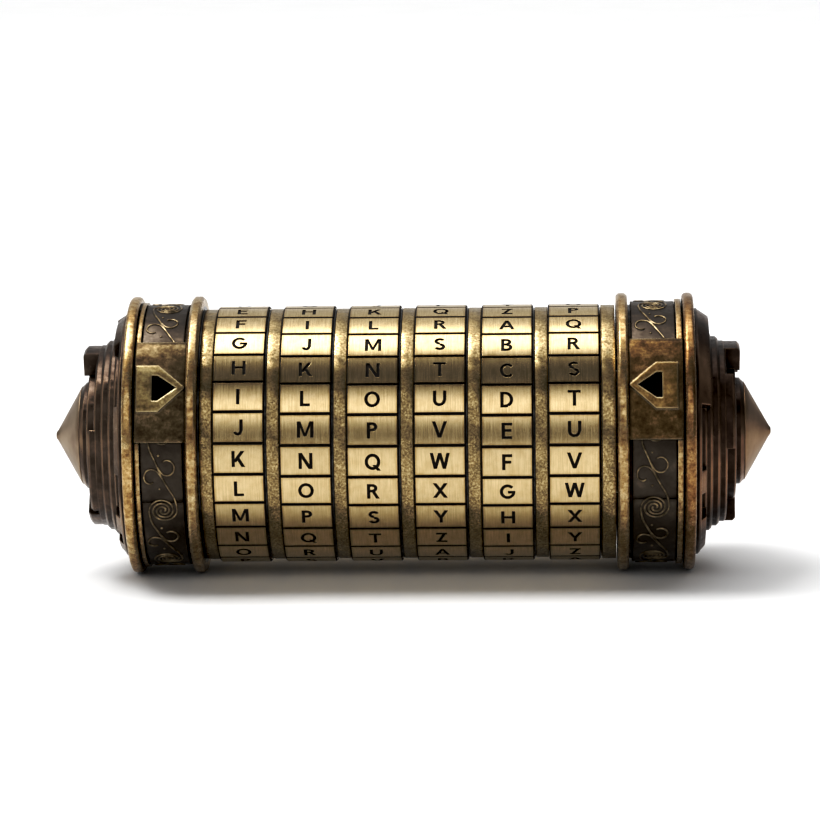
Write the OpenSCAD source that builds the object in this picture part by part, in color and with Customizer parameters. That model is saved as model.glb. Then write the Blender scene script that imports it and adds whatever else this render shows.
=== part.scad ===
// Cryptex: a six-letter combination cylinder that locks a small vault tube inside it.
// Millimetres. The cylinder lies along X on its rims. The origin is on the floor, below its middle.
// Case = sleeve, left end, retaining ring. Vault = inner tube, its pins, right end. Dials turn on the sleeve.

/* [Rims and ends] */
// Outer radius of the four rims
rim_r = 25.1; // [24.8:0.1:26]
// Width of each rim
rim_w = 2; // [1.6:0.1:2.4]
// Corner chamfer of a rim
rim_chamfer = 0.45; // [0.2:0.05:0.7]
// Length of the left collar, from its dial face to its cap rim
left_collar_len = 11.3; // [11:0.1:12.5]
// Length of the right collar, from its dial face to its cap rim
right_collar_len = 11.9; // [11.5:0.1:12.5]
// Width of the raised strip on the left collar
left_strip_w = 0.75; // [0.4:0.05:1.4]
// Width of the raised strip on the right collar
right_strip_w = 1; // [0.4:0.05:1.4]
// Height of the cone that ends each cap
cone_h = 5.05; // [3:0.05:7]
// Radius of the hub under the cone
hub_r = 9.65; // [8:0.05:10.5]
// Chamfer where the hub meets the cone
hub_edge = 0.75; // [0.2:0.05:1.5]

/* [Dials] */
// Number of dials
dials = 6; // [3:1:6]
// Letters on a dial
letters = 26; // [20:1:30]
// Length that each dial takes up on the sleeve, with its gap
dial_pitch = 11.92; // [11.5:0.01:13]
// Width of the plain band beside the letters
band_w = 2.3; // [1.8:0.1:2.6]
// Radius of the plain band
band_r = 22.7; // [22:0.1:23]
// Outer radius of the letter ring
letter_r = 23.2; // [22.8:0.1:23.6]
// Width of the groove between two letters
groove_w = 0.36; // [0.2:0.02:0.6]
// Depth of the groove between two letters
groove_d = 0.35; // [0.15:0.05:0.6]
// How far each dial stands below the index line, in degrees
rest_offset = [2.8, 3.9, 4.5, 4.3, 5.1, 4.5]; // [0:0.1:5.2]

/* [Lock] */
// Angle of the index line above the front
index_at = 29; // [0:1:90]
// Radius of a lock pin
pin_r = 0.9; // [0.7:0.05:0.95]
// Radius that the tip of a lock pin reaches
pin_tip_r = 15.5; // [14.5:0.1:15.6]
// Width of the gate that a lock pin passes through
gate_w = 4.9; // [4.7:0.1:5.2]
// Running clearance on the radius, between turning or sliding parts
running_gap = 0.05; // [0.03:0.01:0.08]

/* [Vault and sleeve] */
// Radius of the vault's bore
vault_bore_r = 9.75; // [8.5:0.05:9.9]
// Outer radius of the vault tube
vault_r = 11.12; // [10.8:0.02:11.14]
// Inner radius of the sleeve
sleeve_bore_r = 11.2; // [11.2:0.02:11.3]
// Outer radius of the sleeve
sleeve_r = 13; // [12.8:0.05:13.1]

/* [Hidden] */
$fn = 96;

// Colours
antique_brass = "#8f7c4c";
aged_brass = "#7c6f50";
brushed_brass = "#b59a55";
dark_bronze = "#4a3828";
taupe_bronze = "#75634e";
blackened = "#2b241c";
steel = "#9a9a96";

// Places along X, from the left tip to the right tip
cap_h = 9.05;
left_gap = 0.35;
right_gap = 0.3;
ring_w = 2.43;
stack_len = dials * dial_pitch;
end_len = cone_h + cap_h + rim_w;
length = 2 * end_len + left_collar_len + right_collar_len + left_gap + right_gap + stack_len + ring_w;
left_rim_x = -length / 2 + cone_h + cap_h;
left_face_x = left_rim_x + rim_w + left_collar_len;
first_dial_x = left_face_x + left_gap;
ring_x = first_dial_x + stack_len;
right_face_x = ring_x + ring_w + right_gap;
right_rim_x = right_face_x + right_collar_len + rim_w;
axis_z = rim_r;

// Sides: the left end looks along -X and the right end along +X
LEFT = -1;
RIGHT = 1;
// The castings of both ends are turned up by this angle
casting_tilt = 10;

// Ends
seat_r = 23;
skin_t = 0.58;
fit_gap = 0.02;
end_gap = 0.3;
band_groove = 0.6;
band_line = 0.2;
seam_w = 0.16;
seam_at = -21.2;
strip_r = 24;
spigot_r = 18.9;
spigot_bore_r = 16.5;
spigot_len = 3.4;
counterbore_r = 19;
plate_arc = 46;
plate_t = 0.7;
plate_r = seat_r + skin_t + 0.04;
arrow_t = 0.5;
peg_r = 0.8;
peg_len = 2.2;
peg_spread = 17;
arrow_len = 8.5;
arrow_half = 4.35;
arrow_shoulder = 3.9;
stud_r = 2.5;
stud_len = 4;
tip_r = 1;

// Dials and lock
step = 360 / letters;
hub_x = 11.5;
hub_outer_r = 19.95;
letter_start = band_w + 0.05;
letter_end = 11.6;
tile_chamfer = 0.25;
key_x = 9.9;
key_depth = 0.6;
pin_x = 5.75;
pin_seat = 0.7;
chamber_w = 2 * pin_r + 0.8;
chamber_r = 15.9;
gate_r = 16;
slot_w = 2.4;
key_w = 2;
key_deep = 0.5;
tab_w = 1.2;
notch_w = 1.4;
key_gap = 0.1;
washer_t = 0.2;
washer_gap = 0.06;
washer_r = band_r - 0.1;
wave_r = [16.3, 18.7];
wave_t = 0.24;
wave_height = 0.33;
wave_sides = 72;
wave_seat = 0.8;
closing_ring_r = 23;
// Lip that closes the gap to the last letter ring: how far it stands out, and its two radii
closing_lip = 0.2;
closing_lip_r = [20.6, washer_r];
grub_r = 0.75;
grub_len = 5;

// Sleeve, vault tube and their screws
flange_r = 17;
flange_t = 2;
web_x = 4.4;
vault_flange_x = right_face_x + 3;
vault_start_x = first_dial_x - 0.75;
screw_r = 0.8;
screw_ring_r = 14.6;
screw_head_r = 1.45;
screw_head_h = 1;
screw_slot_w = 0.4;
vault_web_t = 3;
cut = 1;

function dial_x(n) = first_dial_x + (n - 1) * dial_pitch;
function dial_angle(n) = index_at - rest_offset[n - 1];
function face_x(side) = side == LEFT ? left_face_x : right_face_x;
function collar_len(side) = side == LEFT ? left_collar_len : right_collar_len;
function strip_w(side) = side == LEFT ? left_strip_w : right_strip_w;

// ---- Placing ----

// Local z runs along +X from x, on the cylinder's axis
module along_x(x = 0) {
    translate([x, 0, axis_z]) rotate([0, 90, 0]) children();
}

// As along_x, with local x pointing out of the cylinder at an angle above the front
module at_angle(angle, x = 0) {
    along_x(x) rotate([0, 0, -90 - angle]) children();
}

// Local z points out of the cylinder at an angle above the front
module pointing_out(angle, x, r) {
    at_angle(angle, x) translate([r, 0, 0]) rotate([0, 90, 0]) children();
}

// Local z points away from the dials and local x is where a casting's own angles start
module end_frame(side, x) {
    translate([x, 0, axis_z]) rotate([0, side * 90, 0]) rotate([0, 0, side * (90 - casting_tilt)]) children();
}

// An angle above the front, as an angle in an end's own frame
function in_end(side, angle) = side == LEFT ? angle - casting_tilt : 180 + casting_tilt - angle;
function index_in_end(side) = in_end(side, index_at);

// Ring between two radii, standing on z = 0
module ring(r_out, r_in, h) {
    rotate_extrude() translate([r_in, 0]) square([r_out - r_in, h]);
}

// Part of a ring, from one angle to another
module arc(r_out, r_in, h, from, to) {
    rotate([0, 0, from]) rotate_extrude(angle = to - from) translate([r_in, 0]) square([r_out - r_in, h]);
}

// The same, with a slope of [radial, axial] width along its outer edge
module sloped_arc(r_out, r_in, h, from, to, slope) {
    rotate([0, 0, from]) rotate_extrude(angle = to - from) polygon([
        [r_in, 0], [r_out, 0], [r_out, h - slope[1]], [r_out - slope[0], h], [r_in, h]
    ]);
}

// A box along local x, centred on y, for slots and keys
module bar(r_from, r_to, w, h) {
    translate([r_from, -w / 2, 0]) cube([r_to - r_from, w, h]);
}

// ---- Sleeve and what holds the dials on it ----

// Flanged tube that the dials turn on, with the slot for the pins and a keyway opposite
module sleeve() {
    flange_x = left_face_x - web_x - flange_t;
    sleeve_len = ring_x + ring_w - washer_t - flange_x;
    color(aged_brass) difference() {
        union() {
            along_x(flange_x) cylinder(r = sleeve_r, h = sleeve_len);
            along_x(flange_x) cylinder(r = flange_r, h = flange_t);
        }
        along_x(flange_x - cut) cylinder(r = sleeve_bore_r, h = sleeve_len + 2 * cut);
        at_angle(index_at, first_dial_x + cut) bar(sleeve_bore_r - cut, sleeve_r + cut, slot_w, sleeve_len);
        at_angle(index_at + 180, left_face_x) bar(sleeve_r - key_deep, sleeve_r + cut, key_w, sleeve_len);
        screw_circle(flange_x) hole(screw_r + key_gap, flange_t);
    }
}

// Places something at each of the three screws of a flange
module screw_circle(x) {
    for (i = [0:2]) at_angle(index_at + 60 + 120 * i, x) translate([screw_ring_r, 0, 0]) children();
}

// Straight hole from z = 0, open at both ends
module hole(r, depth) {
    translate([0, 0, -0.01]) cylinder(r = r, h = depth + 0.02);
}

// Slotted cheese-head screw: its head lies below z = 0 and its shank above
module cheese_screw(shank_len) {
    cylinder(r = screw_r - fit_gap, h = shank_len);
    difference() {
        translate([0, 0, -screw_head_h]) cylinder(r = screw_head_r, h = screw_head_h);
        translate([-screw_head_r, -screw_slot_w / 2, -1.5 * screw_head_h])
            cube([2 * screw_head_r, screw_slot_w, screw_head_h]);
    }
}

module sleeve_screws() {
    color(steel) screw_circle(left_face_x - web_x - flange_t) cheese_screw(flange_t + 3);
}

// Plain ring that closes the stack of dials, keyed to the sleeve and held by two grub screws
module retaining_ring() {
    color(aged_brass) difference() {
        union() {
            along_x(ring_x) ring(closing_ring_r, sleeve_r + running_gap, ring_w);
            along_x(ring_x - closing_lip) ring(closing_lip_r[1], closing_lip_r[0], closing_lip + cut);
        }
        along_x(ring_x - cut) cylinder(r = counterbore_r, h = wave_seat + cut);
        at_angle(index_at, ring_x - cut) bar(sleeve_r - cut, gate_r, slot_w + washer_t, ring_w + 2 * cut);
        grub_circle() translate([0, 0, -cut]) cylinder(r = grub_r, h = closing_ring_r);
    }
}

// Places something at each of the two grub screws, from the sleeve outwards
module grub_circle() {
    x = ring_x + (wave_seat + ring_w) / 2;
    for (angle = [115, 205]) pointing_out(index_at + angle, x, sleeve_r) children();
}

module retaining_screws() {
    color(blackened) grub_circle() translate([0, 0, fit_gap]) difference() {
        cylinder(r = grub_r - fit_gap, h = grub_len);
        translate([0, 0, grub_len - cut]) cylinder(r = grub_r / 2, h = 2 * cut, $fn = 6);
    }
}

// Wave in the washer that presses the dials together, as a height over its angle
function wave(a) = wave_height * cos(3 * a);

module wave_washer() {
    corners = [[wave_r[0], 0], [wave_r[1], 0], [wave_r[1], wave_t], [wave_r[0], wave_t]];
    points = [
        for (i = [0:wave_sides - 1]) let (a = 360 * i / wave_sides)
            for (c = corners) [c[0] * cos(a), c[0] * sin(a), c[1] + wave(a)]
    ];
    faces = [
        for (i = [0:wave_sides - 1]) for (j = [0:3])
            let (a = 4 * i, b = 4 * ((i + 1) % wave_sides), k = (j + 1) % 4) [a + j, b + j, b + k, a + k]
    ];
    color(steel) along_x(ring_x + 0.2) polyhedron(points = points, faces = faces, convexity = 6);
}

// Thin washer left of dial n, with a tab in the sleeve's keyway and a notch for the pins
module spacer_washer(n) {
    color(steel) difference() {
        at_angle(index_at, dial_x(n) - washer_t - washer_gap) union() {
            ring(washer_r, sleeve_r + running_gap, washer_t);
            mirror([1, 0, 0])
                bar(sleeve_r - key_deep + key_gap, sleeve_r + cut, key_w - 2 * key_gap, washer_t);
        }
        at_angle(index_at, dial_x(n) - cut) bar(sleeve_r - cut, gate_r, slot_w + washer_t, 2 * cut);
    }
}

// ---- Dials ----

// Ring of letter tiles parted by grooves, which slides over its lock ring and is keyed to it
module letter_ring(n) {
    w = letter_end - letter_start;
    r_in = hub_outer_r + running_gap;
    c = tile_chamfer;
    color(brushed_brass) at_angle(dial_angle(n), dial_x(n) + letter_start) {
        difference() {
            rotate_extrude() polygon([
                [r_in, 0], [letter_r - c, 0], [letter_r, c], [letter_r, w - c], [letter_r - c, w], [r_in, w]
            ]);
            for (i = [0:letters - 1]) rotate([0, 0, (i + 0.5) * step]) translate([0, 0, -cut])
                bar(letter_r - groove_d, letter_r + cut, groove_w, w + 2 * cut);
        }
        translate([0, 0, key_x - letter_start + key_gap])
            bar(hub_outer_r - key_depth + key_gap, hub_outer_r + cut, tab_w, hub_x - key_x - key_gap);
    }
}

// Plain ring that turns on the sleeve: a chamber lets the pin run round, and the gate lets it out
module lock_ring(n) {
    color(aged_brass) at_angle(dial_angle(n), dial_x(n)) difference() {
        union() {
            ring(band_r, sleeve_r + running_gap, band_w);
            ring(hub_outer_r, sleeve_r + running_gap, hub_x);
        }
        translate([0, 0, pin_x - chamber_w / 2]) cylinder(r = chamber_r, h = chamber_w);
        translate([0, 0, -cut]) bar(sleeve_r - cut, gate_r, gate_w, hub_x + 2 * cut);
        for (i = [0:letters - 1]) rotate([0, 0, i * step]) translate([0, 0, key_x])
            bar(hub_outer_r - key_depth, hub_outer_r + cut, notch_w, hub_x);
    }
}

// ---- Ends ----

// Turned body of a collar, from the dial face outwards: inner rim, seat for the scroll band, raised strip
module collar_body(side) {
    len = collar_len(side);
    strip_start = len - end_gap - strip_w(side);
    c = rim_chamfer;
    rotate_extrude() polygon([
        [0, 0], [rim_r - c, 0], [rim_r, c], [rim_r, rim_w - c], [rim_r - c, rim_w], [seat_r, rim_w],
        [seat_r, strip_start], [strip_r, strip_start], [strip_r, len - end_gap],
        [seat_r - 0.5, len - end_gap], [seat_r - 0.5, len], [0, len]
    ]);
}

// Collar with the pocket for its index plate and the two holes for the plate's pegs
module pocketed_collar(side) {
    difference() {
        collar_body(side);
        translate([0, 0, rim_w]) plate_arc_ring(side, plate_r - fit_gap, rim_r, collar_len(side), 0.3);
        plate_pegs(side, peg_r + running_gap, 0.2);
    }
}

// Ring segment over the index plate's arc, wider by a margin in degrees at each end
module plate_arc_ring(side, r_in, r_out, h, margin = 0) {
    mid = index_in_end(side);
    arc(r_out, r_in, h, mid - plate_arc / 2 - margin, mid + plate_arc / 2 + margin);
}

// Two pegs on the back of an index plate, also used as the holes they enter
module plate_pegs(side, r, extra = 0) {
    for (a = [-peg_spread, peg_spread]) rotate([0, 0, index_in_end(side) + a])
        translate([plate_r + 0.18 - peg_len - extra, 0, rim_w + arrow_len / 2])
            rotate([0, 90, 0]) cylinder(r = r, h = peg_len + extra);
}

module left_collar() {
    color(antique_brass) difference() {
        end_frame(LEFT, left_face_x) pocketed_collar(LEFT);
        along_x(left_rim_x) cylinder(r = counterbore_r, h = left_face_x - web_x - left_rim_x);
        along_x(left_rim_x) cylinder(r = sleeve_r + running_gap, h = left_collar_len + rim_w + cut);
        screw_circle(left_face_x - web_x) hole(screw_r, 3.4);
    }
}

module right_collar() {
    flange_end_x = vault_flange_x + flange_t;
    color(antique_brass) difference() {
        end_frame(RIGHT, right_face_x) pocketed_collar(RIGHT);
        along_x(right_face_x - cut) cylinder(r = flange_r + cut, h = flange_end_x - right_face_x + cut);
        along_x(flange_end_x + vault_web_t) cylinder(r = counterbore_r, h = right_collar_len);
        screw_circle(flange_end_x) hole(screw_r, vault_web_t - 0.4);
    }
}

// Thin band of scrollwork wrapped round a collar, with its seam at the lower front
module scroll_band(side) {
    start = rim_w + band_groove;
    w = collar_len(side) - end_gap - strip_w(side) - band_line - start;
    color(blackened) end_frame(side, face_x(side)) difference() {
        translate([0, 0, start]) ring(seat_r + skin_t, seat_r + fit_gap, w);
        rotate([0, 0, in_end(side, seam_at)]) bar(seat_r - cut, seat_r + cut, seam_w, start + w + cut);
        plate_pegs(side, peg_r + running_gap, 0.2);
    }
}

// Outline of the index arrow, whose tip points along x
module arrow_outline() {
    polygon([
        [0, -arrow_half], [arrow_shoulder, -arrow_half], [arrow_len, -0.2],
        [arrow_len, 0.2], [arrow_shoulder, arrow_half], [0, arrow_half]
    ]);
}

module arrow_hole() {
    polygon([[2.8, -2.4], [3.8, -2.4], [7.15, 0], [3.8, 2.4], [2.8, 2.4]]);
}

// Curved plate over the band, with a raised arrow frame round a dark recess
module index_plate(side) {
    len = collar_len(side) - rim_w - end_gap;
    arrow_back = rim_w + arrow_len + 0.2;
    color(antique_brass) end_frame(side, face_x(side)) difference() {
        union() {
            translate([0, 0, rim_w]) plate_arc_ring(side, plate_r, plate_r + plate_t, len);
            intersection() {
                on_plate(side, arrow_back) linear_extrude(4) arrow_outline();
                ring(plate_r + plate_t + arrow_t, plate_r + 0.2, 30);
            }
            plate_pegs(side, peg_r);
        }
        intersection() {
            on_plate(side, arrow_back) linear_extrude(6) arrow_hole();
            ring(rim_r + 1, plate_r + 0.2, 30);
        }
    }
}

// Local z points out of the plate's middle, and local x points from z = back at the dials
module on_plate(side, back) {
    rotate([0, 0, index_in_end(side)]) translate([rim_r - 3, 0, back]) rotate([0, 90, 0]) children();
}

// Plain ring between a collar and its end cap
module cap_rim(side) {
    c = rim_chamfer;
    color(antique_brass) end_frame(side, side == LEFT ? left_rim_x : right_rim_x) rotate_extrude() polygon([
        [spigot_r + running_gap, -rim_w], [rim_r - c, -rim_w], [rim_r, c - rim_w],
        [rim_r, -c], [rim_r - c, 0], [spigot_r + running_gap, 0]
    ]);
}

// Arcs of a cast end cap, each as [from, to, height], in degrees round the cap's own axis
outer_arcs = [
    [90, 168, 2.7], [49.5, 90, 2.2], [200, 212, 1.8], [228, 294, 1.9], [304, 316, 1.9], [340, 373, 1.7]
];
inner_arcs = [[63, 115.4, 8.35], [142, 192, 7.2], [272, 298, 7.5], [302.5, 362.3, 6.9]];
// Steps of the end cap, each as [radius, height of its top, chamfer of its edge]
cap_steps = [
    [22.3, 1, 0.4], [18.65, 2, 0.3], [18.05, 3.1, 0.45], [17.2, 4.45, 0.45], [16.4, 5.7, 0.35],
    [12.3, 7.45, 0.3], [hub_r, cap_h, hub_edge]
];

// Cast cap of stepped discs and broken arcs, with a hollow spigot that enters the collar
module end_cap(side) {
    outline = [for (i = [0:len(cap_steps) - 1])
        let (s = cap_steps[i], below = i == 0 ? 0 : cap_steps[i - 1][1])
        each [[s[0], below], [s[0], s[1] - s[2]], [s[0] - s[2], s[1]]]];
    color(dark_bronze) end_frame(side, side == LEFT ? left_rim_x : right_rim_x) difference() {
        union() {
            rotate_extrude() polygon(concat([[0, 0]], outline, [[0, cap_h]]));
            translate([0, 0, -rim_w - spigot_len]) ring(spigot_r, spigot_bore_r, rim_w + spigot_len + 0.1);
            for (a = outer_arcs) sloped_arc(22.2, 18.4, a[2], a[0], a[1], [1.4, a[2] - 0.6]);
            for (a = inner_arcs) sloped_arc(16.3, 12, a[2], a[0], a[1], [0.5, 0.5]);
        }
        translate([0, 0, cap_h - stud_len - key_gap]) cylinder(r = stud_r + fit_gap, h = stud_len + cut);
    }
}

// Turned cone with a stud that screws into the cap's hub
module cone(side) {
    color(taupe_bronze) end_frame(side, side == LEFT ? left_rim_x : right_rim_x) translate([0, 0, cap_h])
        rotate_extrude() polygon([
            [0, -stud_len], [stud_r, -stud_len], [stud_r, 0], [hub_r - hub_edge, 0],
            [hub_r - hub_edge, 0.15], [tip_r, cone_h - 0.42], [tip_r * 0.6, cone_h - 0.1], [0, cone_h]
        ]);
}

module left_scroll_band() { scroll_band(LEFT); }
module right_scroll_band() { scroll_band(RIGHT); }
module left_index_plate() { index_plate(LEFT); }
module right_index_plate() { index_plate(RIGHT); }
module left_cap_rim() { cap_rim(LEFT); }
module right_cap_rim() { cap_rim(RIGHT); }
module left_end_cap() { end_cap(LEFT); }
module right_end_cap() { end_cap(RIGHT); }
module left_cone() { cone(LEFT); }
module right_cone() { cone(RIGHT); }

// ---- Vault ----

// Tube that holds what is hidden, open at the left and flanged at the right
module vault_tube() {
    tube_len = vault_flange_x + flange_t - vault_start_x;
    color(brushed_brass) difference() {
        union() {
            along_x(vault_start_x) cylinder(r = vault_r, h = tube_len);
            along_x(vault_flange_x) cylinder(r = flange_r, h = flange_t);
        }
        along_x(vault_start_x - cut) cylinder(r = vault_bore_r, h = tube_len + 2 * cut);
        pins(pin_r + fit_gap / 2);
        screw_circle(vault_flange_x) hole(screw_r + key_gap, flange_t);
    }
}

// One radial pin for each dial, set into the wall of the vault tube
module pins(r) {
    for (n = [1:dials]) pointing_out(index_at, dial_x(n) + pin_x, vault_r - pin_seat)
        cylinder(r = r, h = pin_tip_r - vault_r + pin_seat);
}

module vault_pins() {
    color(steel) pins(pin_r);
}

module vault_screws() {
    color(steel) screw_circle(vault_flange_x) cheese_screw(flange_t + vault_web_t - 0.6);
}

sleeve();
sleeve_screws();
retaining_ring();
retaining_screws();
wave_washer();
left_collar();
left_scroll_band();
left_index_plate();
left_cap_rim();
left_end_cap();
left_cone();
vault_tube();
vault_pins();
vault_screws();
right_collar();
right_scroll_band();
right_index_plate();
right_cap_rim();
right_end_cap();
right_cone();
for (n = [1:dials]) {
    letter_ring(n);
    lock_ring(n);
    spacer_washer(n);
}
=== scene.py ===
import math

import bmesh
import bpy
from mathutils import Matrix, Vector
from mathutils.geometry import delaunay_2d_cdt


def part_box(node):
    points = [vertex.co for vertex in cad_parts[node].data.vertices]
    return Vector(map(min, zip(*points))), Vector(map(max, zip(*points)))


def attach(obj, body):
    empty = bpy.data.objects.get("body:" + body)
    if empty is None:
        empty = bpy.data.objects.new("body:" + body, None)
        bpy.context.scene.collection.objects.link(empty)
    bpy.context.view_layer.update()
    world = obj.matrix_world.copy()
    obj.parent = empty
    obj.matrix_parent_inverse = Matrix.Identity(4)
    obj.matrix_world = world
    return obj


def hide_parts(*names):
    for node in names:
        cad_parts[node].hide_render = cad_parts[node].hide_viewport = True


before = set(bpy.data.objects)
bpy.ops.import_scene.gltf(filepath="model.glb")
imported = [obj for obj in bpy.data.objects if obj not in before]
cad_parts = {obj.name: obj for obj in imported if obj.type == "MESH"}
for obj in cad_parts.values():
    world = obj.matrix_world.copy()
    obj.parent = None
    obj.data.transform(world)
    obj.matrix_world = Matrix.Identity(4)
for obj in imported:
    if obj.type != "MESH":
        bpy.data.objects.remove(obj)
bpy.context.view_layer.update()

# ---- Letter rings ----
# Six brass rings that carry the alphabet, one letter to a tile. Each is turned from bar, brushed while it
# spins, slit across into 26 tiles and stamped. Paint stays in the letters and slits when it is wiped off.
MM = 0.001
ALPHABET = "ABCDEFGHIJKLMNOPQRSTUVWXYZ"
TILE_STEP = 360 / len(ALPHABET)
INDEX_ANGLE = 29.0                                 # the arrows' line, in degrees above the front
CODE_ROW = "ILOUDT"                                # what stands nearest that line on the six dials
BELOW_INDEX = [2.8, 3.9, 4.5, 4.3, 5.1, 4.5]       # and by how much, in degrees
TILE_SLIT = 0.36 * MM
SLIT_DEPTH = 0.35 * MM
TILE_EDGE = 0.10 * MM                              # width of a tile's chamfer along the slits
TILE_SIDE_EDGE = 0.25 * MM                         # and at its two sides, and its depth all round
TILE_ROWS = 10                                     # flats that make up a tile's curved face
TILE_ROOT = 0.05 * MM                              # a tile's walls end this far below the floor of the slits
RING_BORE = 20.0 * MM
RING_FLATS = 156
SIDE_STEP = 0.02 * MM                              # the tiles overhang the ring by this much on each side
LETTER_HEIGHT = 2.88 * MM
LETTER_DEPTH = 0.22 * MM
STEM = 0.195                                       # upright stroke, as a share of a letter's height
BAR = STEM * 0.9                                   # level stroke
THIN = STEM * 0.8                                  # inner stroke of an M
BOW_NARROWS = 0.95                                 # round strokes are this much thinner at top and bottom
BOW_STEP = 12                                      # degrees between the points of a round stroke
GOLDEN = 0.6180339887                              # steps of this share spread evenly between 0 and 1
CUT_TOLERANCE = 1e-8                               # in metres, for cutting a tile's face to triangles

ring_low, ring_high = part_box("letter_ring_1")
RING_WIDTH = ring_high[0] - ring_low[0]
RING_RADIUS = (ring_high[2] - ring_low[2]) / 2
rim_low, rim_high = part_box("left_cap_rim")
AXIS_Z = (rim_high[2] + rim_low[2]) / 2


def upright(x, foot=0.0, head=1.0):
    """Upright stroke of a letter."""
    return [(x, foot), (x + STEM, foot), (x + STEM, head), (x, head)]


def level(x0, x1, y):
    """Level stroke that stands on y."""
    return [(x0, y), (x1, y), (x1, y + BAR), (x0, y + BAR)]


def slant(x0, x1, foot=0.0, head=1.0, stroke=STEM):
    """Sloping stroke, cut level at both ends."""
    half = stroke / 2 * math.hypot(x1 - x0, head - foot) / (head - foot)
    return [(x0 - half, foot), (x0 + half, foot), (x1 + half, head), (x1 - half, head)]


def bow(cx, cy, rx, ry, start, end):
    """Round stroke from one angle to another."""
    steps = max(4, int(abs(end - start) / BOW_STEP))
    turns = [math.radians(start + (end - start) * i / steps) for i in range(steps + 1)]
    outer = [(cx + rx * math.cos(t), cy + ry * math.sin(t)) for t in turns]
    inner = [(cx + (rx - STEM) * math.cos(t), cy + (ry - STEM * BOW_NARROWS) * math.sin(t)) for t in turns]
    return outer + inner[::-1]


def punch(letter):
    """Strokes of a letter's punch, for a height of 1, and its width."""
    top = 1 - BAR
    bowl = [level(0, 0.33, top), level(0, 0.33, 0.44), bow(0.33, 0.72, 0.31, 0.28, -90, 90)]
    strokes = {
        "A": ([slant(0.09, 0.47), slant(0.85, 0.47), level(0.2, 0.74, 0.22)], 0.94),
        "B": ([upright(0), level(0, 0.34, top), level(0, 0.36, 0.44), level(0, 0.36, 0),
               bow(0.34, 0.74, 0.29, 0.26, -90, 90), bow(0.36, 0.29, 0.33, 0.29, -90, 90)], 0.69),
        "C": ([bow(0.46, 0.5, 0.46, 0.5, 42, 318)], 0.84),
        "D": ([upright(0), level(0, 0.3, 0), level(0, 0.3, top), bow(0.3, 0.5, 0.48, 0.5, -90, 90)], 0.78),
        "E": ([upright(0), level(0, 0.64, 0), level(0, 0.58, 0.44), level(0, 0.64, top)], 0.64),
        "F": ([upright(0), level(0, 0.56, 0.42), level(0, 0.62, top)], 0.62),
        "G": ([bow(0.48, 0.5, 0.48, 0.5, 42, 352), level(0.5, 0.95, 0.38)], 0.95),
        "H": ([upright(0), upright(0.66), level(0, 0.7, 0.43)], 0.82),
        "I": ([upright(0)], STEM),
        "J": ([upright(0.38, 0.28), bow(0.272, 0.28, 0.272, 0.28, 190, 360)], 0.54),
        "K": ([upright(0), slant(0.17, 0.68, 0.3), slant(0.72, 0.36, 0.0, 0.6)], 0.8),
        "L": ([upright(0), level(0, 0.6, 0)], 0.6),
        "M": ([upright(0), upright(0.82), slant(0.49, 0.13, 0.08, 1, THIN),
               slant(0.49, 0.86, 0.08, 1, THIN)], 0.98),
        "N": ([upright(0), upright(0.66), slant(0.72, 0.1)], 0.82),
        "O": ([bow(0.48, 0.5, 0.48, 0.51, 0, 360)], 0.96),
        "P": ([upright(0)] + bowl, 0.65),
        "Q": ([bow(0.48, 0.5, 0.48, 0.51, 0, 360), slant(0.88, 0.58, -0.06, 0.3, BAR)], 0.96),
        "R": ([upright(0), slant(0.66, 0.38, 0.0, 0.5)] + bowl, 0.75),
        "S": ([bow(0.34, 0.735, 0.33, 0.275, 25, 270), bow(0.34, 0.27, 0.34, 0.275, -160, 90)], 0.68),
        "T": ([upright(0.31), level(0, 0.78, top)], 0.78),
        "U": ([upright(0, 0.36), upright(0.62, 0.36), bow(0.392, 0.38, 0.392, 0.38, 180, 360)], 0.785),
        "V": ([slant(0.45, 0.09), slant(0.45, 0.81)], 0.9),
        "W": ([slant(0.32, 0.09), slant(0.32, 0.6), slant(0.88, 0.6), slant(0.88, 1.11)], 1.2),
        "X": ([slant(0.09, 0.77), slant(0.77, 0.09)], 0.86),
        "Y": ([slant(0.43, 0.09, 0.42), slant(0.43, 0.77, 0.42), upright(0.345, 0, 0.5)], 0.86),
        "Z": ([level(0, 0.68, 0), level(0, 0.68, top), slant(0.12, 0.56)], 0.68),
    }
    return strokes[letter]


def on_ring(x, angle, r):
    """Point on a cylinder about the X axis, at an angle in degrees above the front."""
    a = math.radians(angle)
    return Vector((x, -r * math.cos(a), r * math.sin(a)))


def outline_and_rows(letter, half_x, half_y):
    """A tile laid flat: its corners, the letter's strokes, and level lines that let it follow the ring."""
    strokes, wide = punch(letter)
    points = [(-half_x, -half_y), (half_x, -half_y), (half_x, half_y), (-half_x, half_y)]
    faces = [[0, 1, 2, 3]]
    for stroke in strokes:
        faces.append(list(range(len(points), len(points) + len(stroke))))
        points += [((x - wide / 2) * LETTER_HEIGHT, (y - 0.5) * LETTER_HEIGHT) for x, y in stroke]
    edges = []
    for i in range(1, TILE_ROWS):
        y = half_y * (2 * i / TILE_ROWS - 1)
        edges.append((len(points), len(points) + 1))
        points += [(-half_x, y), (half_x, y)]
    return points, edges, faces


def near_place(x, y):
    """A place to a tenth of a micrometre, by which a point is found again."""
    return round(x, 7), round(y, 7)


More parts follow.
